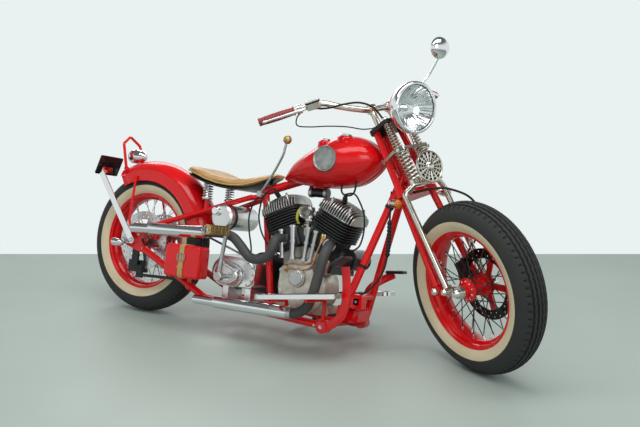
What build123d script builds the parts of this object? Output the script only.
from build123d import *
import math
import os

# A rigid-framed V-twin bobber motorcycle on its side stand. Every piece is modelled upright and straight ahead:
# X forward from the rear axle, Y to the left, Z up from the ground, in millimetres. The fork group is then turned
# to its right stop, and the whole machine is leaned on to its stand and centred over the origin.

os.makedirs("parts", exist_ok=True)

# Stance
WHEELBASE = 1670
LEAN = 12.5
STEER_STOP = 33
RAKE = 32
FORK_OFFSET = 105
CLEARANCE = 0.3

# Wheels
TYRE_RADIUS = 335
TYRE_HALF_WIDTH = 66
TYRE_WALL = 10
BEAD_RADIUS = 220
RIM_SHEET = 6
RIM_WELL = 13
HUB_RADIUS = 26
FLANGE_RADIUS = 46
FLANGE_OUT = 38
FLANGE_THICKNESS = 6
HUB_HALF_LENGTH = 64
AXLE_RADIUS = 10
SPOKE_RADIUS = 2
SPOKES_A_SIDE = 20
SPOKE_LACE = 52
DISC_RADIUS = 140
DISC_RING = 38
DISC_THICKNESS = 5
DISC_OUT = 56
DISC_HOLE_RADIUS = 4.5
SPROCKET_TEETH = 48
CHAIN_PITCH = 15.875
CHAIN_LINE = 80
SPROCKET_THICKNESS = 6

# Frame
TUBE_RADIUS = 16
STAY_RADIUS = 12
BACKBONE_RADIUS = 19
HEADSTOCK_RADIUS = 31
STEM_RADIUS = 19
HEADSTOCK_LOW = 505
HEADSTOCK_HIGH = 715
RAIL_HALF_WIDTH = 132
PLATE_OUT = 122
PLATE_THICKNESS = 10

# Engine
CRANK_X = 900
CRANK_Z = 230
V_HALF_ANGLE = 23.5
HEAD_BASE = 342
HEAD_HEIGHT = 62
HEAD_HALF_LENGTH = 92
HEAD_HALF_WIDTH = 88
BARREL_BASE = 256
FIN_COUNT = 8
FIN_THICKNESS = 3.5
CRANKCASE_RADIUS = 116
CRANKCASE_HALF_WIDTH = 62

# Fork
LEG_RADIUS = 14
LEG_OUT = 100
SPRING_LEG_RADIUS = 12
SPRING_OUT = 52
SPRING_FORWARD = 104

# Body
TANK_GAP = 12
FENDER_RADIUS = 388
FENDER_HALF_WIDTH = 79
FENDER_SHEET = 3
LAMP_RADIUS = 104

REAR_AXLE = Vector(0, 0, TYRE_RADIUS)
FRONT_AXLE = Vector(WHEELBASE, 0, TYRE_RADIUS)
LEFT = Vector(0, 1, 0)
CRANK = Vector(CRANK_X, 0, CRANK_Z)

# Fork directions: ALONG runs up the steering axis, AHEAD points forward at right angles to it.
ALONG = Vector(-math.sin(math.radians(RAKE)), 0, math.cos(math.radians(RAKE)))
AHEAD = Vector(math.cos(math.radians(RAKE)), 0, math.sin(math.radians(RAKE)))
STEER_FOOT = FRONT_AXLE - AHEAD * FORK_OFFSET


def fork_point(ahead, along, out):
    """A point of the straight fork: ahead of the steering axis, along it from the axle's height, out to the left."""
    return STEER_FOOT + AHEAD * ahead + ALONG * along + LEFT * out


def fork_plane(ahead, along, out):
    """A plane across the steering axis, its x forward and its normal up the axis."""
    return Plane(origin=fork_point(ahead, along, out), x_dir=AHEAD, z_dir=ALONG)


def toward(start, end, share):
    """The point at a share of the way from start to end."""
    return Vector(start) + (Vector(end) - Vector(start)) * share


def both_sides(point):
    """A right-hand point and its mirror image on the left."""
    return (point, Vector(point.X, -point.Y, point.Z))


def rod(start, end, radius, mode=Mode.ADD):
    """A straight round bar between two points."""
    run = Vector(end) - Vector(start)
    with BuildSketch(Plane(origin=start, z_dir=run)) as section:
        Circle(radius)
    extrude(section.sketch, amount=run.length, mode=mode)


def tube(points, radius, bend):
    """A round bar along straight runs joined by arcs of the bend radius."""
    with BuildLine() as run:
        FilletPolyline(*points, radius=bend)
    with BuildSketch(Plane(origin=run.line @ 0, z_dir=run.line % 0)) as section:
        Circle(radius)
    sweep(section.sketch, path=run.wire())


def turned(origin, direction, outline, mode=Mode.ADD):
    """A closed outline of (radius, height) points revolved about the line from origin along direction."""
    axial = Vector(direction).normalized()
    helper = Vector(0, 0, 1) if abs(axial.Z) < 0.9 else Vector(1, 0, 0)
    radial = axial.cross(helper).normalized()
    with BuildSketch(Plane(origin=origin, x_dir=radial, z_dir=radial.cross(axial))) as section:
        with BuildLine():
            Polyline(*outline, close=True)
        make_face()
    revolve(section.sketch, axis=Axis(origin, axial), mode=mode)


def block(centre, size, mode=Mode.ADD):
    """A plain box about its centre."""
    with Locations(centre):
        Box(*size, mode=mode)


pieces = {}


def keep(body, **named):
    """Files finished pieces under the rigid body that carries them."""
    for name, piece in named.items():
        pieces[name] = (body, piece)


# Wheels: tyre, rim, laced hub and brake disc, the same at both ends but for their fittings
TYRE_RING = TYRE_RADIUS - TYRE_HALF_WIDTH
BEAD_OUT = math.sqrt(TYRE_HALF_WIDTH**2 - (TYRE_RING - BEAD_RADIUS) ** 2)
LIP_RADIUS = BEAD_RADIUS + 6
LIP_OUT = math.sqrt(TYRE_HALF_WIDTH**2 - (TYRE_RING - LIP_RADIUS) ** 2) + 2 * CLEARANCE
SEAT_RADIUS = BEAD_RADIUS - CLEARANCE
WELL_RADIUS = SEAT_RADIUS - RIM_WELL
SPOKE_END_RADIUS = WELL_RADIUS - RIM_SHEET


def wheel_plane(axle):
    """A plane through the axle whose x is the wheel's radius and y its width."""
    return Plane(origin=axle, x_dir=(0, 0, 1), z_dir=(1, 0, 0))


def make_tyre(axle):
    """A round-section tyre on its beads."""
    inner = TYRE_HALF_WIDTH - TYRE_WALL
    foot = BEAD_OUT - 8
    knee = math.sqrt(inner**2 - (TYRE_RING - LIP_RADIUS) ** 2)
    with BuildPart() as tyre:
        with BuildSketch(wheel_plane(axle)):
            with BuildLine():
                ThreePointArc((BEAD_RADIUS, -BEAD_OUT), (TYRE_RADIUS, 0), (BEAD_RADIUS, BEAD_OUT))
                Polyline((BEAD_RADIUS, BEAD_OUT), (BEAD_RADIUS, foot), (LIP_RADIUS, knee))
                ThreePointArc((LIP_RADIUS, knee), (TYRE_RING + inner, 0), (LIP_RADIUS, -knee))
                Polyline((LIP_RADIUS, -knee), (BEAD_RADIUS, -foot), (BEAD_RADIUS, -BEAD_OUT))
            make_face()
        revolve(axis=Axis(axle, LEFT))
    return tyre.part


def make_wheel(axle, left_end):
    """A wire wheel: a drop-centre rim with rolled lips, crossed spokes and a turned hub with two spoke flanges."""
    half = [
        (WELL_RADIUS, 0),
        (WELL_RADIUS, 20),
        (SEAT_RADIUS, 30),
        (SEAT_RADIUS, BEAD_OUT + CLEARANCE),
        (LIP_RADIUS, LIP_OUT),
        (LIP_RADIUS, LIP_OUT + 3),
        (LIP_RADIUS - 5, LIP_OUT + 4),
        (SEAT_RADIUS - RIM_SHEET, LIP_OUT - 1),
        (SEAT_RADIUS - RIM_SHEET, 32),
        (SPOKE_END_RADIUS, 22),
        (SPOKE_END_RADIUS, 0),
    ]
    right_end = -HUB_HALF_LENGTH
    spokes = []
    for side in (-1, 1):
        for spoke in range(SPOKES_A_SIDE):
            rim_angle = math.radians((spoke + side / 4) * 360 / SPOKES_A_SIDE)
            hub_angle = rim_angle + math.radians(SPOKE_LACE if spoke % 2 else -SPOKE_LACE)
            inner = FLANGE_RADIUS - 5
            outer = SPOKE_END_RADIUS + RIM_SHEET / 2
            start = axle + Vector(inner * math.cos(hub_angle), side * FLANGE_OUT, inner * math.sin(hub_angle))
            end = axle + Vector(outer * math.cos(rim_angle), side * 10, outer * math.sin(rim_angle))
            spokes.append(Plane(origin=start, z_dir=end - start).location)
    with BuildPart() as wheel:
        with BuildSketch(wheel_plane(axle)):
            with BuildLine():
                Polyline(*half, close=True)
            make_face()
        revolve(axis=Axis(axle, LEFT))
        mirror(about=Plane.XZ)
        rod(axle + LEFT * right_end, axle + LEFT * left_end, HUB_RADIUS)
        for side in (-1, 1):
            flange = axle + LEFT * side * (FLANGE_OUT - FLANGE_THICKNESS / 2)
            rod(flange, flange + LEFT * side * FLANGE_THICKNESS, FLANGE_RADIUS)
        with Locations(*spokes):
            Cylinder(SPOKE_RADIUS, (end - start).length, align=(Align.CENTER, Align.CENTER, Align.MIN))
        rod(axle + LEFT * right_end, axle + LEFT * left_end, AXLE_RADIUS + CLEARANCE, mode=Mode.SUBTRACT)
    return wheel.part


def make_disc(axle, side):
    """A drilled brake disc on a spoked carrier, seated on the hub."""
    inner = DISC_RADIUS - DISC_RING
    face = Plane(origin=axle + LEFT * side * DISC_OUT, x_dir=(1, 0, 0), z_dir=LEFT * side)
    with BuildPart() as disc:
        with BuildSketch(face):
            Circle(DISC_RADIUS)
            Circle(inner, mode=Mode.SUBTRACT)
            with PolarLocations(DISC_RADIUS - DISC_RING * 0.27, 24):
                Circle(DISC_HOLE_RADIUS, mode=Mode.SUBTRACT)
            with PolarLocations(DISC_RADIUS - DISC_RING * 0.68, 24, start_angle=7.5):
                Circle(DISC_HOLE_RADIUS, mode=Mode.SUBTRACT)
        extrude(amount=DISC_THICKNESS)
        with BuildSketch(face):
            Circle(HUB_RADIUS + 16)
            with PolarLocations((HUB_RADIUS + inner) / 2, 5):
                Rectangle(inner - HUB_RADIUS + 8, 26)
            Circle(HUB_RADIUS + CLEARANCE / 2, mode=Mode.SUBTRACT)
        extrude(amount=DISC_THICKNESS)
    return disc.part


SPROCKET_RADIUS = CHAIN_PITCH / (2 * math.sin(math.pi / SPROCKET_TEETH))
REAR_HUB_LEFT = CHAIN_LINE + SPROCKET_THICKNESS / 2 + 6

keep(
    "front_wheel",
    front_tyre=make_tyre(FRONT_AXLE),
    front_wire_wheel=make_wheel(FRONT_AXLE, HUB_HALF_LENGTH),
    front_disc=make_disc(FRONT_AXLE, 1),
)
keep(
    "rear_wheel",
    rear_tyre=make_tyre(REAR_AXLE),
    rear_wire_wheel=make_wheel(REAR_AXLE, REAR_HUB_LEFT),
    rear_disc=make_disc(REAR_AXLE, -1),
)

# Rear sprocket: teeth are the gaps between round tooth spaces cut at the chain's pitch
with BuildPart() as rear_sprocket:
    with BuildSketch(
        Plane(origin=REAR_AXLE + LEFT * (CHAIN_LINE - SPROCKET_THICKNESS / 2), x_dir=(1, 0, 0), z_dir=LEFT)
    ):
        Circle(SPROCKET_RADIUS + 3)
        with PolarLocations(SPROCKET_RADIUS, SPROCKET_TEETH):
            Circle(CHAIN_PITCH * 0.36, mode=Mode.SUBTRACT)
        with PolarLocations(78, 8):
            Circle(20, mode=Mode.SUBTRACT)
        Circle(HUB_RADIUS + CLEARANCE / 2, mode=Mode.SUBTRACT)
    extrude(amount=SPROCKET_THICKNESS)
keep("rear_wheel", rear_sprocket=rear_sprocket.part)

# Frame: a headstock and backbone, a seat tube with its two stays, and a bent cradle tube down each side
BACKBONE_TOP = fork_point(0, 645, 0)
SEAT_JOINT = Vector(628, 0, 620)
SEAT_TUBE_FOOT = Vector(722, 0, 112)
BACKBONE_END = toward(BACKBONE_TOP, SEAT_JOINT, 0.93)
DOWNTUBE_TOP = Vector(1296, -24, 728)
RAIL_FRONT = Vector(1118, -RAIL_HALF_WIDTH, 90)
RAIL_REAR = Vector(455, -RAIL_HALF_WIDTH, 124)
DOWNTUBE_START = toward(DOWNTUBE_TOP, RAIL_FRONT, 0.1)
PLATE_LOW = Vector(66, -PLATE_OUT, 300)
PLATE_HIGH = Vector(80, -PLATE_OUT, 404)
STAY_START = Vector(596, -54, 590)
TANK_MOUNTS = (toward(BACKBONE_TOP, SEAT_JOINT, 0.24), toward(BACKBONE_TOP, SEAT_JOINT, 0.62))
TANK_MOUNT_RADIUS = 9
TUNNEL_RADIUS = BACKBONE_RADIUS + 6


def rail_height(x):
    """Height of a bottom rail's centre line."""
    return RAIL_FRONT.Z + (RAIL_REAR.Z - RAIL_FRONT.Z) * (x - RAIL_FRONT.X) / (RAIL_REAR.X - RAIL_FRONT.X)


with BuildPart() as frame_backbone:
    rod(fork_point(0, HEADSTOCK_LOW, 0), fork_point(0, HEADSTOCK_HIGH, 0), HEADSTOCK_RADIUS)
    for along in (HEADSTOCK_LOW, HEADSTOCK_HIGH - 16):
        rod(fork_point(0, along, 0), fork_point(0, along + 16, 0), HEADSTOCK_RADIUS + 4)
    rod(BACKBONE_TOP, BACKBONE_END, BACKBONE_RADIUS)
    for mount in TANK_MOUNTS:
        low = mount - Vector(0, 0, TANK_MOUNT_RADIUS + 1)
        reach = LEFT * (TUNNEL_RADIUS - CLEARANCE)
        rod(low - reach, low + reach, TANK_MOUNT_RADIUS)
    for start, end in zip(both_sides(DOWNTUBE_TOP), both_sides(DOWNTUBE_START)):
        rod(start, end, TUBE_RADIUS)
    rod(
        fork_point(0, HEADSTOCK_LOW - 5, 0),
        fork_point(0, HEADSTOCK_HIGH + 5, 0),
        STEM_RADIUS + CLEARANCE,
        mode=Mode.SUBTRACT,
    )

with BuildPart() as frame_cradle:
    tube([DOWNTUBE_START, RAIL_FRONT, RAIL_REAR, PLATE_LOW], TUBE_RADIUS, 70)
    mirror(about=Plane.XZ)

# Crossmembers: tubes between the rails, engine pads, a bar across the downtubes and lugs for the side stand
ENGINE_SEAT = 122
STAND_PIN_RADIUS = 6
STAND_BARREL_RADIUS = 14
STAND_HALF_HEIGHT = 12
STAND_PIVOT = Vector(760, RAIL_HALF_WIDTH + TUBE_RADIUS + STAND_BARREL_RADIUS + 4, rail_height(760) - 8)
STAND_REACH = Vector(40, 130, -36)
STAND_FOLDED = Vector(-1, 0.1, 0)
STAND_AXIS = STAND_REACH.cross(STAND_FOLDED).normalized()
with BuildPart() as frame_crossmembers:
    span = LEFT * (RAIL_HALF_WIDTH - TUBE_RADIUS / 2)
    for x in (1046, 722, 640, 520):
        rod(Vector(x, 0, rail_height(x)) - span, Vector(x, 0, rail_height(x)) + span, 14)
    for x in (1020, 800):
        rod(Vector(x, 0, 100) - span, Vector(x, 0, 100) + span, 12)
        block((x, 0, 111), (60, 100, 2 * (ENGINE_SEAT - 111)))
    bar = toward(DOWNTUBE_TOP, RAIL_FRONT, 0.8)
    rod(bar, Vector(bar.X, -bar.Y, bar.Z), 14)
    for side in (-1, 1):
        lug = STAND_PIVOT + STAND_AXIS * side * (STAND_HALF_HEIGHT + CLEARANCE)
        with BuildSketch(Plane(origin=lug, x_dir=STAND_AXIS.cross(Vector(1, 0, 0)), z_dir=STAND_AXIS * side)):
            Circle(STAND_BARREL_RADIUS)
            with Locations((-30, 0)):
                Circle(STAND_BARREL_RADIUS)
            make_hull()
        extrude(amount=6)
    pin = STAND_AXIS * (STAND_HALF_HEIGHT + 10)
    rod(STAND_PIVOT - pin, STAND_PIVOT + pin, STAND_PIN_RADIUS)
    add(frame_cradle.part, mode=Mode.SUBTRACT)

# The seat tube carries the two upper stays, with a bridge between them over the fender
FENDER_BRIDGE_RADIUS = 8
BRIDGE_DISTANCE = FENDER_RADIUS + FENDER_BRIDGE_RADIUS + CLEARANCE
BRIDGE_ANGLE = math.radians(25)
with BuildPart() as frame_seat_tube:
    rod(BACKBONE_END, SEAT_JOINT, BACKBONE_RADIUS)
    rod(SEAT_JOINT + Vector(0, 0, 14), SEAT_TUBE_FOOT, TUBE_RADIUS)
    for start, end in zip(both_sides(STAY_START), both_sides(PLATE_HIGH)):
        rod(Vector(634, 0, 600), toward(start, end, 0.04), STAY_RADIUS)
        rod(start, end, STAY_RADIUS)
    bridge = Vector(math.cos(BRIDGE_ANGLE), 0, math.sin(BRIDGE_ANGLE)) * BRIDGE_DISTANCE + REAR_AXLE
    rod(bridge - LEFT * 84, bridge + LEFT * 84, FENDER_BRIDGE_RADIUS)
    add(frame_crossmembers.part, mode=Mode.SUBTRACT)

# Axle plates: a flat plate each side that the stays run into
with BuildPart() as frame_axle_plates:
    with BuildSketch(Plane(origin=(0, -PLATE_OUT, 0), x_dir=(1, 0, 0), z_dir=(0, -1, 0))):
        with BuildLine():
            Polyline(
                (-44, 308), (-44, 366), (-6, 384), (84, 418), (92, 392), (40, 340), (80, 284), (50, 282), close=True
            )
        make_face()
        fillet(vertices(), 7)
    extrude(amount=PLATE_THICKNESS / 2, both=True)
    mirror(about=Plane.XZ)
    rod(REAR_AXLE - LEFT * 200, REAR_AXLE + LEFT * 200, AXLE_RADIUS + CLEARANCE / 2, mode=Mode.SUBTRACT)
    add(frame_cradle.part, mode=Mode.SUBTRACT)
    add(frame_seat_tube.part, mode=Mode.SUBTRACT)

with BuildPart() as rear_axle:
    rod(REAR_AXLE - LEFT * 150, REAR_AXLE + LEFT * 172, AXLE_RADIUS)
    for side, inner in ((-1, HUB_HALF_LENGTH), (1, REAR_HUB_LEFT)):
        plate_face = PLATE_OUT - PLATE_THICKNESS / 2
        rod(
            REAR_AXLE + LEFT * side * (inner + CLEARANCE),
            REAR_AXLE + LEFT * side * (plate_face - CLEARANCE / 3),
            AXLE_RADIUS + 6,
        )
        with BuildSketch(
            Plane(origin=REAR_AXLE + LEFT * side * (PLATE_OUT + PLATE_THICKNESS / 2 + 0.1), z_dir=LEFT * side)
        ):
            RegularPolygon(18, 6)
        extrude(amount=12)

# Fender: a rounded section swung about the rear axle, with skirts beside the tyre
FENDER_SHOULDER = 342
FENDER_SKIRT = 288
FENDER_FRONT = 15
FENDER_REAR = 119
with BuildPart() as rear_fender:
    start = math.radians(FENDER_FRONT)
    section = Plane(origin=REAR_AXLE, x_dir=(math.cos(start), 0, math.sin(start)), z_dir=(-math.sin(start), 0, math.cos(start)))
    wide, inner_wide = FENDER_HALF_WIDTH, FENDER_HALF_WIDTH - FENDER_SHEET
    with BuildSketch(section):
        with BuildLine():
            ThreePointArc((FENDER_SHOULDER, -wide), (FENDER_RADIUS, 0), (FENDER_SHOULDER, wide))
            Polyline(
                (FENDER_SHOULDER, wide), (FENDER_SKIRT, wide), (FENDER_SKIRT, inner_wide), (FENDER_SHOULDER, inner_wide)
            )
            ThreePointArc(
                (FENDER_SHOULDER, inner_wide), (FENDER_RADIUS - FENDER_SHEET, 0), (FENDER_SHOULDER, -inner_wide)
            )
            Polyline(
                (FENDER_SHOULDER, -inner_wide),
                (FENDER_SKIRT, -inner_wide),
                (FENDER_SKIRT, -wide),
                (FENDER_SHOULDER, -wide),
            )
        make_face()
    revolve(axis=Axis(REAR_AXLE, -LEFT), revolution_arc=FENDER_REAR - FENDER_FRONT)

def fender_top(x, out):
    """Height of the fender's outer face over a place beside its crown."""
    rise = FENDER_RADIUS - FENDER_SHOULDER
    crown = (FENDER_HALF_WIDTH**2 + rise**2) / (2 * rise)
    radius = FENDER_RADIUS - crown + math.sqrt(crown**2 - out**2)
    return TYRE_RADIUS + math.sqrt(radius**2 - x**2)


with BuildPart() as fender_stays:
    hoop = [(-158, -61, 677), (-193, -58, 795), (-210, 0, 835), (-193, 58, 795), (-158, 61, 677)]
    tube(hoop, 7, 16)
    for side in (-1, 1):
        seat = Vector(-152, side * 58, fender_top(-152, 58))
        normal = (seat - REAR_AXLE - LEFT * side * 58).normalized() * 0.77 + LEFT * side * 0.64
        rod(seat + normal * 0.05, seat + normal * 14, 11)
    strut_out = PLATE_OUT + PLATE_THICKNESS / 2 + 6.3
    for side in (-1, 1):
        tube(
            [
                (-66, side * (FENDER_HALF_WIDTH + 6.3), 640),
                (-34, side * strut_out, 424),
                (-8, side * strut_out, 366),
            ],
            6,
            40,
        )

TAIL_LAMP = Vector(-140, 0, 738)
with BuildPart() as rear_lamps:
    turned(TAIL_LAMP, (1, 0, 0), [(0, -36), (33, -36), (36, -30), (36, -4), (30, 26), (16, 46), (0, 50)])
    outward = (Vector(-128, 0, fender_top(-128, 0)) - REAR_AXLE).normalized()
    rod(REAR_AXLE + outward * (FENDER_RADIUS + 0.2), REAR_AXLE + outward * (FENDER_RADIUS + 30), 12)
    for side in (-1, 1):
        stem = Vector(-36, side * (PLATE_OUT + PLATE_THICKNESS / 2 + 0.2), 318)
        rod(stem, stem + LEFT * side * 30, 5)
        turned(
            stem + LEFT * side * 40 - Vector(16, 0, 0),
            (-1, 0, 0),
            [(0, -26), (10, -20), (16, -6), (18, 12), (18, 34), (0, 34)],
        )

with BuildPart() as tail_lens:
    turned(TAIL_LAMP, (1, 0, 0), [(0, -36.2), (31, -36.2), (29, -44), (20, -50), (0, -53)])

PLATE_CENTRE = Vector(-236, -95, 676)
BRACKET_OUT = PLATE_OUT + PLATE_THICKNESS / 2 + 15.8
with BuildPart() as plate_bracket:
    foot = Vector(0, -BRACKET_OUT, TYRE_RADIUS)
    tip = Vector(-226, -BRACKET_OUT - 10, 640)
    run = tip - foot
    with BuildSketch(Plane(origin=foot, x_dir=LEFT, z_dir=run)):
        Rectangle(6, 30)
    extrude(amount=run.length)
    block((-234, -118, 652), (24, 66, 30))
    tilted = Plane(origin=PLATE_CENTRE, x_dir=(0, 1, 0), z_dir=(-0.94, 0, 0.34))
    with BuildSketch(tilted):
        RectangleRounded(150, 96, 8)
    extrude(amount=4)
    rod(foot - LEFT * 3.2, foot + LEFT * 3.2, 17)
    rod(foot - LEFT * 8, foot + LEFT * 8, AXLE_RADIUS + CLEARANCE / 2, mode=Mode.SUBTRACT)

# Rear brake: a caliper astride the disc, carried by an arm on the axle spacer and a torque rod to the frame
CALIPER = Vector(-14, -(DISC_OUT + DISC_THICKNESS / 2), TYRE_RADIUS - 124)
with BuildPart() as rear_brake:
    block(CALIPER, (84, 46, 56))
    arm = Vector(0, -98, TYRE_RADIUS)
    with BuildSketch(Plane(origin=arm, x_dir=(1, 0, 0), z_dir=(0, 1, 0))):
        Circle(30)
        with Locations((-8, 62)):
            Rectangle(36, 110)
    extrude(amount=13)
    rod(arm - LEFT * 2, arm + LEFT * 20, AXLE_RADIUS + 6 + CLEARANCE, mode=Mode.SUBTRACT)
    with BuildSketch(Plane(origin=REAR_AXLE - LEFT * (DISC_OUT - 2), z_dir=(0, -1, 0))):
        Circle(DISC_RADIUS + 3)
    extrude(amount=DISC_THICKNESS + 4, mode=Mode.SUBTRACT)
    rod(Vector(16, -92, 172), Vector(256, -118, 184), 7)
    block((250, -122, 196), (24, 8, 40))
    add(frame_cradle.part, mode=Mode.SUBTRACT)
    block((24, -88, 180), (34, 14, 40))
    block((-8, -84, 228), (36, 8, 20))

# Seat: a dished pan and cover from the same sections, sprung at the rear on posts from the stays
# Columns: x, height of the top, half width, thickness
SEAT_SECTIONS = (
    (252, 706, 90, 30),
    (330, 692, 142, 36),
    (450, 664, 138, 36),
    (560, 664, 92, 34),
    (640, 690, 58, 26),
    (694, 708, 36, 20),
)
PAN_THICKNESS = 8


def seat_loft(top_face, inset):
    """Lofts the seat's sections: the cover from its top, or the pan under it, narrowed by inset."""
    sections = []
    for x, top, half_width, cover in SEAT_SECTIONS:
        thickness = cover if top_face else PAN_THICKNESS
        high = top if top_face else top - cover - CLEARANCE
        middle = Vector(x, 0, high - thickness / 2)
        with BuildSketch(Plane(origin=middle, x_dir=(0, 1, 0), z_dir=(1, 0, 0))) as section:
            RectangleRounded(2 * (half_width - inset), thickness, thickness * 0.42)
        sections.append(section.sketch)
    loft(sections)


with BuildPart() as seat_cover:
    seat_loft(True, 0)

with BuildPart() as seat_pan:
    seat_loft(False, 6)

SEAT_SPRING_X = 372
SEAT_SPRING_OUT = 84
SEAT_SPRING_TOP = 640
SEAT_SPRING_LOW = 570


def coils(low, high, low_radius, high_radius, count, wire):
    """A coil spring's outline as stacked turns about its guide rod, from the low end to the high end."""
    axis = Vector(high) - Vector(low)
    pitch = axis.length / count
    outline = [(0, 0)]
    for turn in range(count):
        radius = low_radius + (high_radius - low_radius) * turn / max(count - 1, 1)
        base = turn * pitch
        outline += [
            (radius - wire, base),
            (radius, base + pitch * 0.22),
            (radius, base + pitch * 0.5),
            (radius - wire, base + pitch * 0.72),
        ]
    outline += [(high_radius - wire, axis.length), (0, axis.length)]
    turned(low, axis, outline)


with BuildPart() as seat_springs:
    for side in (-1, 1):
        low = Vector(SEAT_SPRING_X, side * SEAT_SPRING_OUT, SEAT_SPRING_LOW)
        coils(low, low + Vector(0, 0, SEAT_SPRING_TOP - SEAT_SPRING_LOW), 24, 24, 6, 6)
        rod(low - Vector(0, 0, 5), low, 25)
        rod(low - Vector(0, 0, 60), low, 10)
    block((662, 0, 646), (28, 24, 30))
    add(seat_pan.part, mode=Mode.SUBTRACT)
    add(frame_seat_tube.part, mode=Mode.SUBTRACT)
    add(frame_backbone.part, mode=Mode.SUBTRACT)

# Tank: two halves over the backbone, lofted through ellipses along the machine
# Columns: x, middle height, half height, half width
TANK_SECTIONS = (
    (742, 685, 10, 34),
    (800, 716, 50, 84),
    (880, 741, 82, 116),
    (985, 770, 110, 131),
    (1080, 780, 104, 124),
    (1145, 786, 74, 100),
    (1184, 788, 36, 66),
    (1197, 789, 10, 34),
)
with BuildPart() as fuel_tanks:
    for x, middle, half_height, half_width in TANK_SECTIONS:
        with BuildSketch(Plane(origin=(x, 0, middle), x_dir=(0, 1, 0), z_dir=(1, 0, 0))):
            Ellipse(half_width, half_height)
    loft()
    run = SEAT_JOINT - BACKBONE_TOP
    with BuildSketch(Plane(origin=BACKBONE_TOP, x_dir=LEFT, z_dir=run)):
        Circle(TUNNEL_RADIUS)
        with Locations((0, 150)):
            Rectangle(2 * TUNNEL_RADIUS, 300)
    extrude(amount=run.length, mode=Mode.SUBTRACT)
    block((970, 0, 780), (700, TANK_GAP, 400), mode=Mode.SUBTRACT)

EMBLEM = Vector(985, 0, 774)
# Columns: x, out, top of the cap, radius
TANK_CAPS = ((945, -66, 884, 24), (1040, -66, 902, 27), (1040, 66, 902, 27))
with BuildPart() as tank_trim:
    for side in (-1, 1):
        rod(EMBLEM + LEFT * side * 90, EMBLEM + LEFT * side * 135, 54)
    for x, out, top, radius in TANK_CAPS:
        rod((x, out, top - 70), (x, out, top), radius)
    add(fuel_tanks.part, mode=Mode.SUBTRACT)

# Engine
FRONT_LEAN = math.radians(V_HALF_ANGLE)


def cylinder_plane(side, distance):
    """A plane across a cylinder's axis at a distance from the crank, front for side 1 and rear for -1."""
    axis = Vector(side * math.sin(FRONT_LEAN), 0, math.cos(FRONT_LEAN))
    return Plane(origin=CRANK + axis * distance, x_dir=(0, 1, 0), z_dir=axis)


CHEST_BASE = 172
with BuildPart() as crankcase:
    rod(CRANK - LEFT * CRANKCASE_HALF_WIDTH, CRANK + LEFT * CRANKCASE_HALF_WIDTH, CRANKCASE_RADIUS)
    for side in (-1, 1):
        with BuildSketch(cylinder_plane(side, 40)):
            RectangleRounded(2 * CRANKCASE_HALF_WIDTH - 4, 132, 20)
        extrude(amount=CHEST_BASE - 40)
        with BuildSketch(cylinder_plane(side, CHEST_BASE)):
            with Locations((-14, 0)):
                RectangleRounded(2 * CRANKCASE_HALF_WIDTH + 44, 132, 20)
        extrude(amount=BARREL_BASE - CHEST_BASE - CLEARANCE)
    pad = 40
    block((910, 0, ENGINE_SEAT + pad / 2 + 0.1), (260, 2 * CRANKCASE_HALF_WIDTH - 10, pad))

with BuildPart() as cylinders:
    for side in (-1, 1):
        with BuildSketch(cylinder_plane(side, BARREL_BASE)):
            with Locations((-14, 0)):
                RectangleRounded(2 * HEAD_HALF_WIDTH - 40, 2 * HEAD_HALF_LENGTH - 40, 40)
        extrude(amount=HEAD_BASE - BARREL_BASE - CLEARANCE)
        gap = (HEAD_BASE - BARREL_BASE - CLEARANCE - FIN_THICKNESS) / (FIN_COUNT - 1)
        for fin in range(FIN_COUNT):
            with BuildSketch(cylinder_plane(side, BARREL_BASE + fin * gap)):
                with Locations((-14, 0)):
                    RectangleRounded(2 * HEAD_HALF_WIDTH, 2 * HEAD_HALF_LENGTH, 46)
            extrude(amount=FIN_THICKNESS)

# Heads: a low dome that carries a row of arched fins along its length
HEAD_FINS = 11
with BuildPart() as cylinder_heads:
    for side in (-1, 1):
        base = cylinder_plane(side, HEAD_BASE)
        with BuildSketch(base):
            with Locations((-14, 0)):
                RectangleRounded(2 * HEAD_HALF_WIDTH, 2 * HEAD_HALF_LENGTH, 46)
        extrude(amount=12)
        with BuildSketch(base):
            with Locations((-14, 0)):
                RectangleRounded(2 * HEAD_HALF_WIDTH - 40, 2 * HEAD_HALF_LENGTH - 36, 40)
        extrude(amount=HEAD_HEIGHT * 0.5, taper=14)
        for fin in range(HEAD_FINS):
            place = (fin - (HEAD_FINS - 1) / 2) * (2 * HEAD_HALF_LENGTH - 22) / (HEAD_FINS - 1)
            round_off = math.sqrt(1 - (place / (HEAD_HALF_LENGTH + 8)) ** 2)
            height = 14 + (HEAD_HEIGHT - 14) * round_off
            wide = HEAD_HALF_WIDTH * (0.55 + 0.43 * round_off)
            upright = Plane(origin=base.from_local_coords((-14, place - 2, 0)), x_dir=base.x_dir, z_dir=base.y_dir)
            with BuildSketch(upright):
                with BuildLine():
                    ThreePointArc((-wide, -6), (0, -height), (wide, -6))
                    Line((wide, -6), (-wide, -6))
                make_face()
            extrude(amount=4)

TIMING_FACE = CRANKCASE_HALF_WIDTH + 0.1
with BuildPart() as timing_cover:
    with BuildSketch(Plane(origin=(0, -TIMING_FACE, 0), x_dir=(1, 0, 0), z_dir=(0, -1, 0))):
        with BuildLine():
            Polyline((CRANK_X - 92, 196), (CRANK_X - 96, 300), (CRANK_X - 40, 352), (CRANK_X + 50, 346), (CRANK_X + 82, 290), (CRANK_X + 66, 196), (CRANK_X, 176), close=True)
        make_face()
        fillet(vertices(), 18)
    extrude(amount=36, taper=6)
    with BuildSketch(Plane(origin=(CRANK_X - 4, -TIMING_FACE - 36, 268), x_dir=(1, 0, 0), z_dir=(0, -1, 0))):
        Circle(42)
    extrude(amount=10, taper=10)

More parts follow.
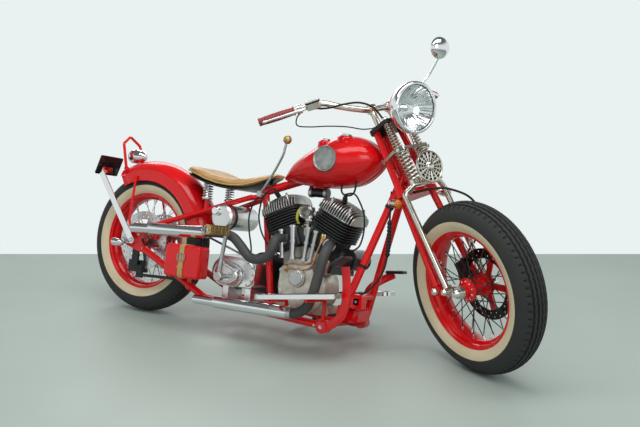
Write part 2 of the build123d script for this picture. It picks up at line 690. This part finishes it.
with BuildPart() as carburettor:
    body = Vector(CRANK_X, -58, 506)
    rod(body, body + Vector(0, 0, 66), 24)
    rod(body + Vector(0, 0, 40), body + Vector(0, -62, 40), 22)
    rod(body + Vector(0, -50, 40), body + Vector(0, -66, 40), 34)
    rod(body - Vector(0, 0, 60), body, 13)
    add(crankcase.part, mode=Mode.SUBTRACT)
    add(cylinders.part, mode=Mode.SUBTRACT)

# Electrics: generator ahead of the engine, coil under the backbone, finned regulator between the rails
COIL_Z = 636
with BuildPart() as electrics:
    rod(Vector(1094, -44, 366), Vector(1094, 92, 366), 46)
    rod(Vector(1094, -54, 366), Vector(1094, -44, 366), 30)
    block((1040, 0, 316), (110, 60, 34))
    rod(Vector(858, 0, COIL_Z), Vector(950, 0, COIL_Z), 20)
    block((900, 0, COIL_Z + 40), (16, 8, 80))
    block((1142, -30, 146), (100, 110, 44))
    for fin in range(6):
        block((1142, -75 + fin * 18, 174), (100, 5, 14))
    block((1080, -30, 118), (120, 60, 12))
    add(crankcase.part, mode=Mode.SUBTRACT)
    add(frame_backbone.part, mode=Mode.SUBTRACT)
    add(frame_crossmembers.part, mode=Mode.SUBTRACT)

# Exhaust: two matt pipes on the right, a high one from the rear cylinder and a low one from the front
PIPE_RADIUS = 19
LOW_MUFFLER = Vector(925, -178, 127)
HIGH_MUFFLER = Vector(438, -158, 412)
LOW_RUN = Vector(-1, 0, -0.02).normalized()
HIGH_RUN = Vector(-1, 0, -0.043).normalized()
with BuildPart() as exhaust_pipes:
    tube(
        [
            (1034, -99, 446),
            (1050, -160, 436),
            (1018, LOW_MUFFLER.Y + 4, 196),
            LOW_MUFFLER - LOW_RUN * 66,
            LOW_MUFFLER,
        ],
        PIPE_RADIUS,
        26,
    )
    tube(
        [
            (806, -99, 452),
            (804, HIGH_MUFFLER.Y - 6, 440),
            (780, HIGH_MUFFLER.Y, 346),
            (690, HIGH_MUFFLER.Y, 330),
            HIGH_MUFFLER - HIGH_RUN * 150,
            HIGH_MUFFLER,
        ],
        PIPE_RADIUS,
        26,
    )
    add(crankcase.part, mode=Mode.SUBTRACT)
    add(cylinders.part, mode=Mode.SUBTRACT)

with BuildPart() as mufflers:
    turned(
        LOW_MUFFLER + LOW_RUN * CLEARANCE,
        LOW_RUN,
        [(0, 0), (21, 0), (24, 12), (24, 380), (18, 396), (15, 490), (0, 490)],
    )
    turned(
        HIGH_MUFFLER + HIGH_RUN * CLEARANCE,
        HIGH_RUN,
        [(0, 0), (22, 0), (28, 26), (28, 310), (20, 326), (16, 424), (0, 424)],
    )

# Drive side: primary case, gearbox, chain
PRIMARY_FACE = CHAIN_LINE + 12
PRIMARY_DEPTH = 28
GEARBOX = Vector(564, -32, 252)
with BuildPart() as primary_cover:
    with BuildSketch(Plane(origin=(0, PRIMARY_FACE, 0), x_dir=(1, 0, 0), z_dir=(0, 1, 0))):
        with Locations((CRANK_X, -CRANK_Z)):
            Circle(86)
        with Locations((GEARBOX.X + 40, -GEARBOX.Z)):
            Circle(96)
        make_hull()
    extrude(amount=PRIMARY_DEPTH)
    fillet(faces().sort_by(Axis.Y)[-1].edges(), 14)
    rod(CRANK + LEFT * (CRANKCASE_HALF_WIDTH + 0.1), CRANK + LEFT * (PRIMARY_FACE + 2), 74)

with BuildPart() as gearbox:
    block(GEARBOX, (212, 176, 136))
    fillet(edges().filter_by(Axis.Y), 26)
    rod(GEARBOX + LEFT * 80, GEARBOX + LEFT * 101, 34)
    for x in (520, 640):
        block((x, -20, 156), (36, 120, 60))
    add(frame_crossmembers.part, mode=Mode.SUBTRACT)

KICK_SHAFT = Vector(556, -120.2, 232)
with BuildPart() as levers:
    rod(KICK_SHAFT, KICK_SHAFT - LEFT * 72, 11)
    tube([KICK_SHAFT - LEFT * 66, Vector(566, -190, 330), Vector(586, -202, 432)], 9, 60)
    rod(Vector(586, -196, 430), Vector(560, -306, 430), 12)
    tube([(650, -108, 310), (690, -150, 470), (786, -156, 770), (808, -156, 826)], 6, 60)
    with Locations((812, -156, 840)):
        Sphere(19)
    add(gearbox.part, mode=Mode.SUBTRACT)

FRONT_SPROCKET = Vector(564, CHAIN_LINE, 252)
FRONT_SPROCKET_RADIUS = 44
with BuildPart() as drive_chain:
    rear_centre = (REAR_AXLE.X, REAR_AXLE.Z)
    with BuildSketch(Plane(origin=(0, CHAIN_LINE, 0), x_dir=(1, 0, 0), z_dir=(0, -1, 0))):
        with Locations(rear_centre):
            Circle(SPROCKET_RADIUS + 12)
        with Locations((FRONT_SPROCKET.X, FRONT_SPROCKET.Z)):
            Circle(FRONT_SPROCKET_RADIUS + 7)
        make_hull()
        with BuildSketch(mode=Mode.SUBTRACT):
            with Locations(rear_centre):
                Circle(SPROCKET_RADIUS + 4)
            with Locations((FRONT_SPROCKET.X, FRONT_SPROCKET.Z)):
                Circle(FRONT_SPROCKET_RADIUS - 6)
            make_hull()
    extrude(amount=6, both=True)

OIL_TANK = Vector(510, 0, 487.5)
OIL_TANK_RADIUS = 55
with BuildPart() as oil_tank:
    turned(
        OIL_TANK - LEFT * 152,
        (0, 1, 0),
        [(0, 0), (OIL_TANK_RADIUS - 8, 0), (OIL_TANK_RADIUS, 8), (OIL_TANK_RADIUS, 216), (OIL_TANK_RADIUS - 8, 224), (0, 224)],
    )
    rod(OIL_TANK + Vector(-22, -152, 20), OIL_TANK + Vector(-22, -162, 20), 16)

TOOLBOX = Vector(366, -178, 275)
with BuildPart() as toolbox:
    block(TOOLBOX, (190, 72, 142))
    fillet(edges().filter_by(Axis.Y), 14)
    fillet(faces().sort_by(Axis.Y)[0].edges(), 8)
    hold = toward(RAIL_REAR, PLATE_LOW, 0.229)
    run = (PLATE_LOW - RAIL_REAR).normalized()
    rod(hold - run * 12, hold + run * 12, TUBE_RADIUS + 5)
    block((366, -140, 260), (20, 8, 170))
    add(frame_cradle.part, mode=Mode.SUBTRACT)

# Floorboards, pedals and their carriers
BOARD_SLOPE = math.radians(8)
BOARD = Vector(1000, -254, 206)
DECK_UP = Vector(-math.sin(BOARD_SLOPE), 0, math.cos(BOARD_SLOPE))
BOARD_HALF_THICKNESS = 9
with BuildPart() as floorboards:
    deck = Plane(origin=BOARD, x_dir=(math.cos(BOARD_SLOPE), 0, math.sin(BOARD_SLOPE)), z_dir=DECK_UP)
    with BuildSketch(deck):
        RectangleRounded(376, 100, 34)
    extrude(amount=BOARD_HALF_THICKNESS, both=True)
    for x in (880, 1060):
        under = BOARD.Z + (x - BOARD.X) * math.tan(BOARD_SLOPE) - BOARD_HALF_THICKNESS
        foot = rail_height(x) + TUBE_RADIUS + 0.6
        tube([(x, -RAIL_HALF_WIDTH, foot), (x, -RAIL_HALF_WIDTH, under - 6), (x, -290, under - 6)], 8, 20)
    mirror(about=Plane.XZ)

with BuildPart() as foot_pedals:
    pivot = Vector(1089, -RAIL_HALF_WIDTH - TUBE_RADIUS - CLEARANCE, 96)
    rod(pivot, pivot - LEFT * 52, 14)
    tube([pivot - LEFT * 40, Vector(1226, -196, 150), Vector(1196, -214, 352)], 9, 40)
    with BuildSketch(Plane(origin=(1190, -230, 366), x_dir=LEFT, z_dir=(-0.94, 0, 0.34))):
        RectangleRounded(84, 50, 10)
    extrude(amount=12, both=True)
    mirror(about=Plane.XZ)

# Fork
STEM_LOW = 438
TREE_LOW = 736
TREE_THICKNESS = 16
LEG_FOOT = fork_point(20, 62, -LEG_OUT)
LEG_HEAD = fork_point(20, TREE_LOW + TREE_THICKNESS - 1, -60)
PIVOT = fork_point(20, 46, -LEG_OUT)
SPRING_PIVOT = fork_point(72, 24, -LEG_OUT)
PIVOT_RADIUS = 8

with BuildPart() as fork_legs:
    with BuildSketch(fork_plane(0, STEM_LOW, 0)):
        Circle(38)
        for side in (-1, 1):
            with Locations((20, side * 78)):
                Circle(26)
        make_hull()
    extrude(amount=26)
    rod(fork_point(0, STEM_LOW, 0), fork_point(0, TREE_LOW + TREE_THICKNESS + 8, 0), STEM_RADIUS)
    rod(fork_point(0, STEM_LOW + 26, 0), fork_point(0, HEADSTOCK_LOW - CLEARANCE, 0), STEM_RADIUS + 2)
    for foot, head, eye in zip(both_sides(LEG_FOOT), both_sides(LEG_HEAD), both_sides(PIVOT)):
        rod(foot, head, LEG_RADIUS)
        rod(eye - LEFT * 13, eye + LEFT * 13, 19)
        rod(eye - LEFT * 20, eye + LEFT * 20, PIVOT_RADIUS + CLEARANCE / 2, mode=Mode.SUBTRACT)


def leg_holes():
    """Cuts the two leg bores from the open part."""
    for foot, head in zip(both_sides(LEG_FOOT), both_sides(LEG_HEAD)):
        rod(foot, head, LEG_RADIUS + CLEARANCE / 2, mode=Mode.SUBTRACT)


with BuildPart() as fork_top_tree:
    with BuildSketch(fork_plane(0, TREE_LOW, 0)):
        Circle(36)
        for side in (-1, 1):
            with Locations((20, side * 61)):
                Circle(25)
            with Locations((SPRING_FORWARD - 10, side * SPRING_OUT)):
                Circle(18)
        make_hull()
    extrude(amount=TREE_THICKNESS)
    rod(fork_point(0, HEADSTOCK_HIGH + CLEARANCE, 0), fork_point(0, TREE_LOW, 0), HEADSTOCK_RADIUS)
    rod(
        fork_point(0, STEM_LOW, 0),
        fork_point(0, TREE_LOW + TREE_THICKNESS + 9, 0),
        STEM_RADIUS + CLEARANCE / 2,
        mode=Mode.SUBTRACT,
    )
    leg_holes()

SEAT_ALONG = 472
PERCH_LOW = 600
PERCH_THICKNESS = 12
with BuildPart() as fork_spring_legs:
    tube(
        [
            SPRING_PIVOT,
            fork_point(72, 436, -LEG_OUT),
            fork_point(SPRING_FORWARD, SEAT_ALONG - 14, -SPRING_OUT - 8),
            fork_point(SPRING_FORWARD, SEAT_ALONG - 14, SPRING_OUT + 8),
            fork_point(72, 436, LEG_OUT),
            SPRING_PIVOT + LEFT * 2 * LEG_OUT,
        ],
        SPRING_LEG_RADIUS,
        22,
    )
    for side in (-1, 1):
        rod(
            fork_point(SPRING_FORWARD, SEAT_ALONG - 16, side * SPRING_OUT),
            fork_point(SPRING_FORWARD, SEAT_ALONG, side * SPRING_OUT),
            27,
        )
    for eye in (SPRING_PIVOT, SPRING_PIVOT + LEFT * 2 * LEG_OUT):
        rod(eye - LEFT * 13, eye + LEFT * 13, 16)
        rod(eye - LEFT * 20, eye + LEFT * 20, PIVOT_RADIUS + CLEARANCE / 2, mode=Mode.SUBTRACT)

with BuildPart() as fork_spring_perch:
    with BuildSketch(fork_plane(0, PERCH_LOW, 0)):
        for side in (-1, 1):
            with Locations((SPRING_FORWARD, side * SPRING_OUT)):
                Circle(28)
        make_hull()
        for side in (-1, 1):
            with Locations((60, side * 68)):
                Rectangle(96, 44)
    extrude(amount=PERCH_THICKNESS)
    leg_holes()

with BuildPart() as fork_springs:
    for side in (-1, 1):
        coils(
            fork_point(SPRING_FORWARD, SEAT_ALONG + CLEARANCE, side * SPRING_OUT),
            fork_point(SPRING_FORWARD, PERCH_LOW - CLEARANCE, side * SPRING_OUT),
            26,
            26,
            8,
            7,
        )
        coils(
            fork_point(SPRING_FORWARD - 10, PERCH_LOW + PERCH_THICKNESS + CLEARANCE, side * SPRING_OUT),
            fork_point(SPRING_FORWARD - 10, TREE_LOW - CLEARANCE, side * SPRING_OUT),
            22,
            15,
            9,
            6,
        )

ROCKER_IN = 70
ROCKER_OUT = 85
with BuildPart() as fork_rockers:
    with BuildSketch(Plane(origin=FRONT_AXLE - LEFT * ROCKER_IN, x_dir=AHEAD, z_dir=(0, -1, 0))):
        for ahead, along, radius in ((20, 46, 18), (72, 24, 19), (FORK_OFFSET, 0, 24)):
            with Locations((ahead - FORK_OFFSET, along)):
                Circle(radius)
        make_hull()
    extrude(amount=ROCKER_OUT - ROCKER_IN)
    for eye in (PIVOT, SPRING_PIVOT):
        rod(eye + LEFT * (LEG_OUT - ROCKER_OUT + 2), eye - LEFT * 17, PIVOT_RADIUS)
        turned(eye - LEFT * 13.2, (0, -1, 0), [(0, 0), (14, 0), (14, 8), (10, 16), (5, 20), (0, 21)])
    rod(FRONT_AXLE - LEFT * 200, FRONT_AXLE, AXLE_RADIUS + CLEARANCE / 2, mode=Mode.SUBTRACT)
    mirror(about=Plane.XZ)

with BuildPart() as front_axle:
    rod(FRONT_AXLE - LEFT * 112, FRONT_AXLE + LEFT * 112, AXLE_RADIUS)
    for side in (-1, 1):
        rod(
            FRONT_AXLE + LEFT * side * (HUB_HALF_LENGTH + CLEARANCE),
            FRONT_AXLE + LEFT * side * (ROCKER_IN - 0.1),
            AXLE_RADIUS + 6,
        )
        turned(
            FRONT_AXLE + LEFT * side * (ROCKER_OUT + 0.1),
            (0, side, 0),
            [(0, 0), (17, 0), (17, 12), (13, 22), (7, 28), (0, 30)],
        )

# Handlebar and what it carries
BAR_RADIUS = 12.7
BAR_CLAMP = fork_point(32, 841, 0)
BAR_RISE = Vector(1090, -245, 1062)
BAR_TIP = Vector(965, -460, 1009)
BAR_BEND = Vector(BAR_CLAMP.X, -96, BAR_CLAMP.Z)
with BuildPart() as handlebar:
    mirrored = [Vector(p.X, -p.Y, p.Z) for p in (BAR_BEND, BAR_RISE, BAR_TIP)]
    tube([BAR_TIP, BAR_RISE, BAR_BEND, *mirrored], BAR_RADIUS, 55)
    for side in (-1, 1):
        foot = fork_point(32, TREE_LOW + TREE_THICKNESS + 0.1, side * 44)
        rod(foot, fork_point(32, 841, side * 44), 14)
        rod(BAR_CLAMP + LEFT * (side * 44 - 14), BAR_CLAMP + LEFT * (side * 44 + 14), 22)


def along_grip(share):
    """A point on the right-hand bar end, from its rise at 0 to its tip at 1."""
    return toward(BAR_RISE, BAR_TIP, share)


with BuildPart() as grips:
    rod(along_grip(0.42), along_grip(1) + (BAR_TIP - BAR_RISE).normalized() * 6, 17)
    rod(along_grip(0.3), along_grip(1.0), BAR_RADIUS + CLEARANCE / 2, mode=Mode.SUBTRACT)
    mirror(about=Plane.XZ)

with BuildPart() as bar_controls:
    forward = LEFT.cross(Vector(0, 0, 1)).normalized()
    grip_run = BAR_TIP - BAR_RISE
    lever = along_grip(0.34) + forward * 36
    rod(along_grip(0.3), along_grip(0.39), 19)
    rod(along_grip(0.34), lever - forward * 6, 10)
    rod(lever, lever + grip_run * 0.72 - forward * 3, 6)
    rod(lever - grip_run * 0.02, lever - grip_run * 0.26, 15)
    mirror(about=Plane.XZ)
    clamp = toward(mirrored[0], mirrored[1], 0.66)
    bar_run = (mirrored[1] - mirrored[0]).normalized()
    rod(clamp - bar_run * 9, clamp + bar_run * 9, 18)
    tube([clamp, clamp + Vector(50, 26, 14), Vector(1162, 300, 1150), Vector(1160, 342, 1216)], 5, 20)
    turned(Vector(1166, 350, 1225), (-1, 0, 0), [(0, -16), (26, -12), (44, 0), (48, 10), (48, 16), (0, 16)])
    add(handlebar.part, mode=Mode.SUBTRACT)

# Lamp and horn
LAMP_FACE = Vector(1403, 0, 1013)
LAMP_BACK = LAMP_FACE - Vector(104, 0, 0)
TREE_TOP = TREE_LOW + TREE_THICKNESS
with BuildPart() as headlamp_shell:
    turned(LAMP_BACK, (1, 0, 0), [(0, 0), (44, 3), (76, 22), (93, 54), (97, 86), (0, 86)])
    rod(fork_point(92, TREE_TOP + 0.1, 0), fork_point(92, TREE_TOP + 24, 0), 12)
    rod(fork_point(92, TREE_TOP + 14, 0), LAMP_BACK + Vector(12, 0, -14), 9)
    turned(LAMP_BACK, (1, 0, 0), [(0, 3), (42, 6), (73, 25), (90, 55), (94, 87), (0, 87)], mode=Mode.SUBTRACT)

with BuildPart() as headlamp_rim:
    turned(
        LAMP_BACK,
        (1, 0, 0),
        [(90, 86.2), (97, 86.2), (LAMP_RADIUS, 92), (LAMP_RADIUS, 100), (98, 106), (90, 104)],
    )
    turned(
        LAMP_BACK,
        (1, 0, 0),
        [
            (0, 24), (30, 28), (62, 46), (86, 84), (89.6, 88), (89.6, 94), (86, 92), (58, 52), (30, 34), (14, 32),
            (14, 58), (0, 64),
        ],
    )

with BuildPart() as headlamp_lens:
    turned(LAMP_BACK, (1, 0, 0), [(0, 106), (60, 104), (89.7, 99), (89.7, 95), (60, 100), (0, 102)])

HORN = fork_point(170, 494, 0)
HORN_FACING = Vector(math.cos(math.radians(14)), 0, math.sin(math.radians(14)))
with BuildPart() as horn:
    turned(
        HORN - HORN_FACING * 44,
        HORN_FACING,
        [(0, 0), (19, 0), (20, 18), (58, 24), (63, 30), (63, 38), (56, 42), (20, 47), (0, 48)],
    )
    rod(HORN - HORN_FACING * 30, fork_point(SPRING_FORWARD, SEAT_ALONG - 14, 0), 8)
    rod(
        fork_point(SPRING_FORWARD, SEAT_ALONG - 14, -60),
        fork_point(SPRING_FORWARD, SEAT_ALONG - 14, 60),
        SPRING_LEG_RADIUS + 0.2,
        mode=Mode.SUBTRACT,
    )

# Front brake and indicators
with BuildPart() as front_brake:
    grip = FRONT_AXLE + AHEAD * -78 + ALONG * 98
    with Locations(Plane(origin=grip + LEFT * (DISC_OUT + DISC_THICKNESS / 2), x_dir=AHEAD, z_dir=LEFT).location):
        Box(52, 64, 40)
    rod(grip + LEFT * (DISC_OUT + 18), grip + LEFT * (LEG_OUT - LEG_RADIUS), 14)
    rod(LEG_FOOT + LEFT * 2 * LEG_OUT, Vector(LEG_HEAD.X, -LEG_HEAD.Y, LEG_HEAD.Z), LEG_RADIUS + CLEARANCE / 2, mode=Mode.SUBTRACT)
    with BuildSketch(Plane(origin=FRONT_AXLE + LEFT * (DISC_OUT - 2), z_dir=LEFT)):
        Circle(DISC_RADIUS + 3)
    extrude(amount=DISC_THICKNESS + 4, mode=Mode.SUBTRACT)

with BuildPart() as front_indicators:
    for side in (-1, 1):
        hold = toward(LEG_FOOT, LEG_HEAD, 0.53)
        outer = Vector(hold.X, side * (abs(hold.Y) + LEG_RADIUS + 0.4), hold.Z)
        rod(outer, outer + LEFT * side * 22, 5)
        turned(outer + LEFT * side * 34, (1, 0, 0), [(0, -30), (10, -24), (17, -8), (18, 10), (18, 28), (0, 30)])

# Placing: the lean, the pitch that puts both tyres on the ground, and the steered fork
steer_plane = Plane(origin=STEER_FOOT, x_dir=AHEAD, z_dir=ALONG)
STEERED = steer_plane.location * Location((0, 0, 0), (0, 0, -STEER_STOP)) * steer_plane.location.inverse()


def turn_to(place, point):
    """A point carried along by a placement."""
    return (place * Location(point)).position


def lowest(place, centre):
    """Height of a tyre's lowest point, from its centre and the tilt of its axle."""
    hub = turn_to(place, centre)
    tilt = (turn_to(place, centre + LEFT) - hub).Z
    return hub.Z - TYRE_RING * math.sqrt(1 - tilt**2) - TYRE_HALF_WIDTH


pitch = 0.0
for step in range(12):
    leaned = Location((0, 0, 0), (-LEAN, 0, 0)) * Location((0, 0, 0), (0, pitch, 0))
    drop = lowest(leaned * STEERED, FRONT_AXLE) - lowest(leaned, REAR_AXLE)
    pitch += math.degrees(drop / WHEELBASE)
lift = -lowest(leaned, REAR_AXLE)
STANDING = Location((0, 0, lift)) * leaned
GROUND = STANDING.inverse()


def on_ground(point, height):
    """The place straight below or above a point of the machine at a height over the ground."""
    world = turn_to(STANDING, point)
    return turn_to(GROUND, Vector(world.X, world.Y, height))


# Side stand: a leg on a pin under the left rail, whose foot lies flat on the ground
STAND_FOOT = on_ground(STAND_PIVOT + STAND_REACH, 6)
down = (turn_to(GROUND, Vector(0, 0, 0)) - turn_to(GROUND, Vector(0, 0, 1))).normalized()
with BuildPart() as side_stand:
    reach = STAND_AXIS * STAND_HALF_HEIGHT
    rod(STAND_PIVOT - reach, STAND_PIVOT + reach, STAND_BARREL_RADIUS)
    rod(STAND_PIVOT, STAND_FOOT, 9)
    with BuildSketch(Plane(origin=STAND_FOOT - down * 3, x_dir=down.cross(Vector(1, 0, 0)), z_dir=down)):
        RectangleRounded(62, 38, 12)
    extrude(amount=9)
    rod(STAND_PIVOT - reach * 2, STAND_PIVOT + reach * 2, STAND_PIN_RADIUS + CLEARANCE, mode=Mode.SUBTRACT)

keep(
    "chassis",
    frame_backbone=frame_backbone.part,
    frame_seat_tube=frame_seat_tube.part,
    frame_cradle=frame_cradle.part,
    frame_axle_plates=frame_axle_plates.part,
    frame_crossmembers=frame_crossmembers.part,
    rear_axle=rear_axle.part,
    rear_fender=rear_fender.part,
    fender_stays=fender_stays.part,
    rear_lamps=rear_lamps.part,
    tail_lens=tail_lens.part,
    plate_bracket=plate_bracket.part,
    rear_brake=rear_brake.part,
    seat_cover=seat_cover.part,
    seat_pan=seat_pan.part,
    seat_springs=seat_springs.part,
    fuel_tanks=fuel_tanks.part,
    tank_trim=tank_trim.part,
    crankcase=crankcase.part,
    timing_cover=timing_cover.part,
    cylinders=cylinders.part,
    cylinder_heads=cylinder_heads.part,
    carburettor=carburettor.part,
    electrics=electrics.part,
    exhaust_pipes=exhaust_pipes.part,
    mufflers=mufflers.part,
    primary_cover=primary_cover.part,
    gearbox=gearbox.part,
    levers=levers.part,
    drive_chain=drive_chain.part,
    oil_tank=oil_tank.part,
    toolbox=toolbox.part,
    floorboards=floorboards.part,
    foot_pedals=foot_pedals.part,
)
keep(
    "fork",
    fork_legs=fork_legs.part,
    fork_top_tree=fork_top_tree.part,
    fork_spring_legs=fork_spring_legs.part,
    fork_spring_perch=fork_spring_perch.part,
    fork_springs=fork_springs.part,
    fork_rockers=fork_rockers.part,
    front_axle=front_axle.part,
    handlebar=handlebar.part,
    grips=grips.part,
    bar_controls=bar_controls.part,
    headlamp_shell=headlamp_shell.part,
    headlamp_rim=headlamp_rim.part,
    headlamp_lens=headlamp_lens.part,
    horn=horn.part,
    front_brake=front_brake.part,
    front_indicators=front_indicators.part,
)
keep("side_stand", side_stand=side_stand.part)

PLACES = {
    "chassis": STANDING,
    "rear_wheel": STANDING,
    "side_stand": STANDING,
    "fork": STANDING * STEERED,
    "front_wheel": STANDING * STEERED,
}
placed = {name: PLACES[body] * piece for name, (body, piece) in pieces.items()}
boxes = [piece.bounding_box() for piece in placed.values()]
CENTRE = Vector(
    (min(b.min.X for b in boxes) + max(b.max.X for b in boxes)) / 2,
    (min(b.min.Y for b in boxes) + max(b.max.Y for b in boxes)) / 2,
    0,
)
CENTRED = Location(-CENTRE)
for name, piece in placed.items():
    piece = CENTRED * piece
    piece.label = name
    export_step(piece, f"parts/{name}.step")
print(len(placed), "pieces, pitch", round(pitch, 3), "centre", CENTRE)
